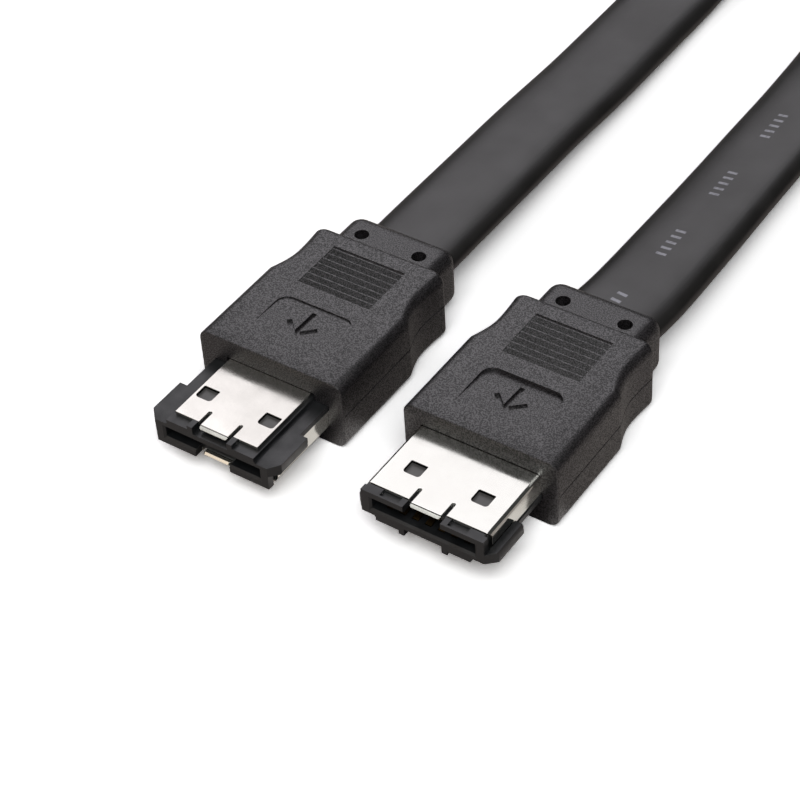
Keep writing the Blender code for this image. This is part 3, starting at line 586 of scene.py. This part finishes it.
def grip_tool(side):
    """The grip's saw teeth: each floor is deepest at its front, and each crest is a narrow flat."""
    face = body_height / 2 + side * body_height / 2
    end = grip_start + grip_length
    points = [(grip_start, face + side)]
    start = grip_start
    while start < end - 0.1:
        stop = min(start + grip_pitch, end)
        points.append((start, face - side * grip_depth))
        if stop < end:
            points.append((stop - crest_width, face - side * crest_depth))
            points.append((stop, face - side * crest_depth))
        else:
            points.append((stop, face - side * last_crest_depth))
        start = stop
    points.append((end, face + side))
    return slab(points, -grip_half, grip_half, "yz")


def recess_place(shape, side):
    """Lays a shape on the sloped floor of the label recess of a face."""
    face = body_height / 2 + side * body_height / 2
    tilt = Matrix.Rotation(-math.asin(label_depths[side] / label_length), 4, "X")
    flip = Matrix.Diagonal((1, 1, side, 1))
    to_face = Matrix.Translation((0, label_start, face))
    to_hinge = Matrix.Translation((0, -label_start, 0))
    bmesh.ops.transform(shape, verts=shape.verts, matrix=to_face @ flip @ tilt @ to_hinge)
    bmesh.ops.recalc_face_normals(shape, faces=shape.faces)
    return shape


def label_tool(side):
    """The label recess, flush at its front and deepest along its round back corners."""
    corner = (label_half - label_corner, label_start + label_length - label_corner)
    right = [(label_half, label_start - 1.0)] + arc(corner, label_corner, 0, 90, 10)
    return recess_place(slab(both_sides(right), 0, 1), side)


def arrow_tool(side):
    """A plain arrow engraved in the floor of the label recess, pointing to the plug's nose."""
    right = [(0.24, 7.0), (0.24, 4.3), (1.34, 5.4), (1.7, 5.04), (0.03, 3.35)]
    return recess_place(slab([(-x, y) for x, y in reversed(both_sides(right))], -0.3, 1), side)


def pin_hole_tool(side):
    """Two blind holes in one face of the neck, each with its floor at a distance from the middle."""
    shape = bmesh.new()
    depth = 2.6
    height = body_height / 2 + side * (pin_hole_floor + depth / 2)
    for across in (-1, 1):
        place = Matrix.Translation((across * pin_hole_offset, pin_hole_place, height))
        bmesh.ops.create_cone(shape, cap_ends=True, segments=32, radius1=pin_hole_radius,
                              radius2=pin_hole_radius, depth=depth, matrix=place)
    return shape


def neck_shape():
    """The neck behind the body, with round edges, over the end of the cord."""
    middle, half, rise = body_height / 2, neck_width / 2, neck_height / 2
    end = body_length + neck_length
    shape = block((-half, body_length - 1.0, middle - rise), (half, end, middle + rise))

    def climb(edge):
        return abs(edge.verts[0].co.z - edge.verts[1].co.z)

    def outside(edge):
        return max(vert.co.y for vert in edge.verts) > body_length

    def round_off(edges, radius):
        bmesh.ops.bevel(shape, geom=edges, offset=radius, offset_type="OFFSET", segments=8,
                        profile=0.5, affect="EDGES", material=-1)

    round_off([edge for edge in shape.edges if climb(edge) > 1 and outside(edge)], neck_corner)
    round_off([edge for edge in shape.edges if climb(edge) < 0.01 and outside(edge)], neck_edge)
    bmesh.ops.recalc_face_normals(shape, faces=shape.faces)
    return shape


def mouth_tool():
    """The stepped hole that the shell and the insulator come out of."""
    right = [(4.72, 1.95), (4.72, 2.7), (6.15, 2.7), (6.15, 3.28), (6.02, 3.28)]
    right += [(5.6 + 0.42 * x, 5.05 + 0.48 * z) for x, z in arc((0.0, 0.0), 1.0, 0, 90, 4)]
    return slab(both_sides(right), -1.0, 2.5, "xz")


def cord_tool():
    """The flat hole in the neck that the cord leaves by."""
    radius = cable_thickness / mm / 2 + cord_clearance
    half = cable_width / mm / 2 + cord_clearance - radius
    right = arc((half, body_height / 2), radius, -90, 90, 12)
    return slab(both_sides(right), body_length - 2.0, body_length + neck_length + 1.0, "xz")


overmould_shape = bmesh.new()
loft(overmould_shape, [body_station(y, half, rise, body_height - rise, body_edge - 0.5 * rise)
                       for y, half, rise in body_stations()])
overmould_steps = [("UNION", neck_shape())]
overmould_steps += [("DIFFERENCE", tool) for side in (1, -1)
                    for tool in (grip_tool(side), label_tool(side), pin_hole_tool(side))]
overmould_steps += [("DIFFERENCE", arrow_tool(side)) for side in (1, -1)]
overmould_steps += [("DIFFERENCE", mouth_tool()), ("DIFFERENCE", cord_tool())]

overmould_grain = Finish("overmould_spark_grain", Base_Color=grey(0.1), Roughness=0.33,
                         Specular_IOR_Level=0.75, Coat_Roughness=0.35)
grain = overmould_grain.noise(0.115 * mm, detail=1.0, roughness=0.6)
# The grain's crests are painted lighter than its hollows: a painted highlight that goes with the bump.
crest_highlight = overmould_grain.spread(grain, 0.45, 0.57)
overmould_grain.feed(
    Normal=overmould_grain.bump(grain, 0.034 * mm),
    Coat_Weight=overmould_grain.spread(grain, 0.46, 0.56, 0.0, 1.0),
    Roughness=overmould_grain.spread(grain, 0.42, 0.6, 0.4, 0.29),
    Base_Color=overmould_grain.blend(crest_highlight, grey(0.016), (0.0265, 0.0235, 0.026, 1.0)),
)
on_both_plugs("overmould", carved(overmould_shape, overmould_steps), overmould_grain,
              rounding=0.05)

# The metal shells
# Two nickel-plated sheets on each plug, stamped flat and then folded: a wide channel and a narrow
# plate. Each has two latch windows, and two slits free a spring tongue whose lip is bent inwards.

shell_gauge, fold_radius = 0.3, 0.1
shell_front, shell_back = -7.83, 5.8
plate_reach, wall_start, wall_setback = 5.65, 6.05, 0.35
slit_inner, slit_outer, slit_end = 1.46, 1.84, -6.3
lip_start, lip_radius, lip_flat, lip_angle, lip_corner = -7.98, 0.18, 0.38, 37.0, 0.2
window_near, window_far, window_front, window_rear = 2.5, 4.15, -5.39, -3.91
window_round, window_corner = 0.32, 0.08


def flat_pattern(half):
    """A shell's sheet before it is folded, with its tongue and slits, its walls' ends cut back."""
    slit_middle = (slit_inner + slit_outer) / 2
    slit_radius = (slit_outer - slit_inner) / 2
    right = arc((slit_inner - lip_corner, lip_start - lip_flat + lip_corner), lip_corner, 270, 360, 6)
    right += arc((slit_middle, slit_end - slit_radius), slit_radius, 180, 0, 10)
    right += [(slit_outer, shell_front), (min(half, plate_reach), shell_front)]
    if half > plate_reach:
        right += [(wall_start, shell_front + wall_setback), (half, shell_front + wall_setback)]
    right.append((half, shell_back))
    return slab(both_sides(right), 0, shell_gauge)


def window_tool(side):
    """A latch window, with rounder corners at its front than at its rear."""
    near, far, turn, corner = window_near, window_far, window_round, window_corner
    outline = arc((near + corner, window_rear - corner), corner, 90, 180, 3)
    outline += arc((near + turn, window_front + turn), turn, 180, 270, 6)
    outline += arc((far - turn, window_front + turn), turn, 270, 360, 6)
    outline += arc((far - corner, window_rear - corner), corner, 0, 90, 3)
    return slab([(side * x, y) for x, y in outline], -1.0, 1.0)


def creased(shape, places, axis):
    """Cuts a sheet across where it will bend."""
    for place in places:
        everything = shape.verts[:] + shape.edges[:] + shape.faces[:]
        bmesh.ops.bisect_plane(shape, geom=everything, dist=0.0001, plane_co=[place] * 3, plane_no=axis)


def bend_tongue(shape):
    """Rolls the lip at the tongue's front end down over its radius."""
    turn = math.radians(lip_angle)
    arc_length = lip_radius * turn
    creased(shape, [lip_start - arc_length * i / 5 for i in range(6)], (0, 1, 0))
    for vert in shape.verts:
        past = lip_start - vert.co.y
        if past > 0 and abs(vert.co.x) < slit_inner + 0.01:
            angle = min(past / lip_radius, turn)
            straight = max(past - arc_length, 0.0)
            radius = lip_radius + vert.co.z - shell_gauge / 2
            drop = lip_radius - shell_gauge / 2
            vert.co.y = lip_start - radius * math.sin(angle) - straight * math.cos(angle)
            vert.co.z = radius * math.cos(angle) - drop - straight * math.sin(angle)


def fold_walls(shape, flat_half):
    """Folds both edges of a sheet down at right angles."""
    arc_length = (fold_radius + shell_gauge / 2) * math.pi / 2
    places = [flat_half + arc_length * i / 6 for i in range(7)]
    creased(shape, places + [-place for place in places], (1, 0, 0))
    for vert in shape.verts:
        past = abs(vert.co.x) - flat_half
        if past > 0:
            angle = min(past / arc_length, 1.0) * math.pi / 2
            straight = max(past - arc_length, 0.0)
            radius = fold_radius + vert.co.z
            across = flat_half + radius * math.sin(angle)
            vert.co.x = math.copysign(across, vert.co.x)
            vert.co.z = radius * math.cos(angle) - fold_radius - straight


def shell_shape(flat_half, pattern_half, level, upward):
    """One folded shell. Its plate's inner face is at a level, and its outer one looks up or down."""
    shape = carved(flat_pattern(pattern_half), [("DIFFERENCE", window_tool(side)) for side in (1, -1)])
    bend_tongue(shape)
    if pattern_half > flat_half:
        fold_walls(shape, flat_half)
    bmesh.ops.transform(shape, verts=shape.verts, matrix=Matrix.Translation((0, 0, level))
                        @ Matrix.Diagonal((1, 1, upward, 1)))
    bmesh.ops.recalc_face_normals(shape, faces=shape.faces)
    return shape


def at_windows(finish, blur):
    """1 above and below every latch window, and 0 past a blur in millimetres.

    One row across the table takes in the windows of both plugs.
    """
    across = (window_near + window_far) / 2
    reach, row, row_reach = 0.9, -11.0, 1.6
    beside, forward, _ = finish.parts(finish.place)
    off_window = abs(abs(abs(beside) - plug_offset * mm) - across * mm)
    in_window = finish.inside(off_window, reach * mm, (reach + blur) * mm)
    return in_window * finish.inside(abs(forward - row * mm), row_reach * mm, (row_reach + blur) * mm)


def nickel_finish(name, light, dark, low_roughness, high_roughness, relief, face_rise):
    """Nickel plate over rolled sheet: faint streaks along the plug, fine pits and handling smudges.

    The punched edges of the latch windows are painted dark grey, a painted dark reflection. They
    lie under the sheet's outer face, whose height from the plug's middle is the face rise.
    """
    finish = Finish(name, Metallic=1.0)
    rise = abs(finish.parts(finish.place)[2] - body_height / 2 * mm)
    under_face = finish.inside(rise, (face_rise - 0.04) * mm, (face_rise - 0.02) * mm)
    # Painted dark reflection on the punched walls of the latch windows.
    painted_dark_walls = at_windows(finish, 0.02) * under_face
    stretched = finish.node("ShaderNodeMapping", Vector=finish.place, Scale=(1.0, 0.12, 1.0))
    streaks = finish.noise(0.12 * mm, detail=2.0, place=stretched)
    smudges = finish.noise(2.4 * mm, detail=3.0)
    pits = finish.noise(0.3 * mm, detail=2.0)
    wear = smudges * 0.7 + streaks * 0.3
    plate = finish.blend(finish.spread(smudges, 0.35, 0.7), light, dark)
    finish.feed(
        Roughness=finish.spread(wear, 0.35, 0.65, low_roughness, high_roughness),
        Normal=finish.bump(pits * 0.5 + streaks * 0.5, relief),
        Base_Color=finish.blend(painted_dark_walls, plate, grey(0.2)),
    )
    return finish


# One nickel plating in two copies: the narrow plate's darker colour is painted shade, and its higher
# roughness is its own satin finish.
nickel = nickel_finish("nickel_bright", (0.87, 0.875, 0.82, 1.0), (0.84, 0.84, 0.785, 1.0),
                       low_roughness=0.1, high_roughness=0.2, relief=0.003 * mm, face_rise=1.85)
nickel_satin_shaded = nickel_finish("nickel_satin_shaded", (0.77, 0.755, 0.705, 1.0), (0.735, 0.72, 0.67, 1.0),
                             low_roughness=0.15, high_roughness=0.26, relief=0.006 * mm, face_rise=1.59)
wide_shell = shell_shape(flat_half=5.6, pattern_half=7.69, level=5.15, upward=1)
narrow_shell = shell_shape(flat_half=4.375, pattern_half=4.375, level=2.31, upward=-1)
on_both_plugs("shell_wide", wide_shell, nickel, rounding=0.035)
on_both_plugs("shell_narrow", narrow_shell, nickel_satin_shaded, rounding=0.035)

# The insulators
# The smooth black block that carries the contacts: a nose with a slot, two key wings and a flange. The
# lands that show in the latch windows are painted paler, a painted reflection.

wing_inner, wing_outer, wing_top, wing_edge = 6.02, 6.88, 3.88, 0.12
wing_tool_side, wing_tool_top = 7.38, 5.6

insulator_stock = bmesh.new()
insulator_stock.from_mesh(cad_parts["plug_b_insulator"].data)
bmesh.ops.transform(insulator_stock, verts=insulator_stock.verts,
                    matrix=(plug_places["plug_b"] @ Matrix.Scale(mm, 4)).inverted())
bmesh.ops.remove_doubles(insulator_stock, verts=insulator_stock.verts, dist=0.002)
bmesh.ops.dissolve_limit(insulator_stock, angle_limit=math.radians(0.5), verts=insulator_stock.verts,
                         edges=insulator_stock.edges)


def wing_tool(side):
    """Takes a wing's top down and slopes its outer edge."""
    shoulder = wing_top - 2 * wing_edge
    outline = [(wing_inner, wing_top), (wing_outer - wing_edge, wing_top), (wing_outer, shoulder),
               (wing_tool_side, shoulder), (wing_tool_side, wing_tool_top), (wing_inner, wing_tool_top)]
    return slab([(side * x, z) for x, z in outline], -9.5, -3.0, "xz")


insulator_shape = carved(insulator_stock, [("DIFFERENCE", wing_tool(side)) for side in (1, -1)])

insulator_satin = Finish("insulator_satin_black", Base_Color=grey(0.1), Roughness=0.36,
                         Specular_IOR_Level=0.8)
flow = insulator_satin.noise(1.5 * mm, detail=3.0)
# Painted reflection: the insulator is painted paler where it shows through the latch windows.
painted_land_reflection = at_windows(insulator_satin, 0.05)
moulded = insulator_satin.blend(flow, grey(0.09, -0.004), grey(0.13, -0.006))
insulator_satin.feed(
    Normal=insulator_satin.bump(insulator_satin.noise(0.2 * mm, detail=2.0), 0.008 * mm),
    Roughness=insulator_satin.spread(flow, 0.3, 0.7, 0.3, 0.46),
    Base_Color=insulator_satin.blend(painted_land_reflection, moulded, grey(0.3, 0.005)),
)
on_both_plugs("insulator", insulator_shape, insulator_satin, rounding=0.03)

# The contacts and the pieces inside the overmoulds
# Seven gold-plated spring contacts show in each slot. The conductors behind them, the white inner
# mould and the crimped clamp are closed in by the overmould.

# The gold is painted dark bronze: painted shade of the slot round the contacts.
contact_gold_shaded = Finish("contact_gold_plate", Metallic=1.0)
wipe = contact_gold_shaded.noise(0.5 * mm, detail=2.0)
contact_gold_shaded.feed(
    Roughness=contact_gold_shaded.spread(wipe, 0.3, 0.7, 0.3, 0.45),
    Base_Color=contact_gold_shaded.blend(wipe, (0.15, 0.1, 0.045, 1.0), (0.11, 0.07, 0.03, 1.0)),
)

tinned = Finish("tinned_copper", Base_Color=(0.72, 0.7, 0.68, 1.0), Metallic=1.0, Roughness=0.35)
tinned.feed(Normal=tinned.bump(tinned.noise(0.3 * mm, detail=3.0), 0.02 * mm))

insulation = Finish("wire_insulation", Base_Color=grey(0.85), Roughness=0.5)
insulation.feed(Base_Color=insulation.blend(insulation.noise(0.8 * mm), grey(0.82), grey(0.88, 0.01)))

first_shot = Finish("inner_mould_white", Base_Color=grey(0.84, 0.02), Roughness=0.55)
clouds = first_shot.noise(1.5 * mm, detail=3.0)
first_shot.feed(
    Base_Color=first_shot.blend(clouds, grey(0.8, 0.02), grey(0.87, 0.015)),
    Normal=first_shot.bump(first_shot.noise(0.3 * mm), 0.02 * mm),
)


def dress(node, finish):
    """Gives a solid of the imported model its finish."""
    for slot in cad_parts[node].material_slots:
        slot.material = finish.material


for plug in plug_places:
    dress(f"{plug}_inner_mould", first_shot)
    dress(f"{plug}_strain_clamp", nickel)
    for number in range(1, 8):
        dress(f"{plug}_contact_{number}", contact_gold_shaded)
        dress(f"{plug}_wire_{number}", tinned if number in (1, 4, 7) else insulation)

# The coil's ties
# Two woven nylon straps hold the wound cord. Each is one flat band drawn close round the strands that
# it holds, three at one tie and two at the other, with its end stuck down over its start outside.

tie_width, tie_thickness = 6.0, 0.5
tie_low, tie_high, tie_round = 0.5, 10.38, 1.3

webbing = Finish("tie_woven_black", Base_Color=grey(0.16), Roughness=0.85)
webbing_map = webbing.node("ShaderNodeTexCoord", output="UV")
ribs = webbing.node("ShaderNodeTexWave", {"bands_direction": "X"}, output="Fac", Vector=webbing_map,
                    Scale=0.7, Distortion=0.6, Detail=1.0)
yarns = webbing.node("ShaderNodeTexWave", {"bands_direction": "Y"}, output="Fac", Vector=webbing_map,
                     Scale=1.1, Distortion=0.4, Detail=1.0)
# The weave is painted darker in its hollows and lighter on its raised yarns: painted shade that goes
# with the bump.
webbing.feed(
    Normal=webbing.bump(ribs * yarns, 0.12 * mm),
    Base_Color=webbing.blend(ribs * yarns, grey(0.12), grey(0.24)),
)


def band_points(inner, outer, grow):
    """The strap's middle line round the strands, drawn across the coil, outwards and up."""
    low, high = tie_low - grow, tie_high + grow
    near, far, turn = inner - grow, outer + grow, tie_round + grow
    points = [(far, (low + high) / 2)] + arc((far - turn, high - turn), turn, 0, 90, 6)
    points += arc((near + turn, high - turn), turn, 90, 180, 6)
    points += arc((near + turn, low + turn), turn, 180, 270, 6)
    return points + arc((far - turn, low + turn), turn, 270, 360, 6)


def strap(name, degrees, inner, outer, node):
    """A tie at an angle round the coil, drawn round strands from one radius to another."""
    top = outer + tie_thickness * 1.35
    overlap = [(outer + tie_thickness / 2, 4.0), (top, 4.9), (top, 7.6), (top - 0.1, 8.2)]
    line = band_points(inner, outer, tie_thickness / 2) + overlap
    shape = bmesh.new()
    rows = [[shape.verts.new((radius, side * tie_width / 2, height)) for side in (-1, -0.5, 0, 0.5, 1)]
            for radius, height in line]
    lengths = [0.0]
    for first, second in zip(line, line[1:]):
        lengths.append(lengths[-1] + math.dist(first, second))
    layer = shape.loops.layers.uv.new("along")
    for row, (first, second) in enumerate(zip(rows, rows[1:])):
        for column in range(4):
            beyond = column + 1
            face = shape.faces.new((first[column], first[beyond], second[beyond], second[column]))
            marks = ((row, column), (row, beyond), (row + 1, beyond), (row + 1, column))
            for corner, (down, across) in zip(face.loops, marks):
                corner[layer].uv = (lengths[down], across * tie_width / 4)
    mesh = mesh_from(shape, name)
    to_coil = Matrix.Translation((*coil_centre, 0)) @ Matrix.Rotation(math.radians(degrees), 4, "Z")
    mesh.transform(to_coil @ Matrix.Scale(mm, 4))
    mesh.shade_smooth()
    mesh.materials.append(webbing.material)
    piece = bpy.data.objects.new(name, mesh)
    bpy.context.scene.collection.objects.link(piece)
    thick = piece.modifiers.new("thickness", "SOLIDIFY")
    thick.thickness = tie_thickness * mm * 0.96
    thick.offset = 0.0
    rounded(piece, 0.12, 50)
    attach(piece, "root")
    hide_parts(node)
    return piece


straps = [
    strap("tie_strap_1", 60.0, 37.5, 47.72, "coil_tie_1"),
    strap("tie_strap_2", -60.0, 38.7, 45.4, "coil_tie_2"),
]
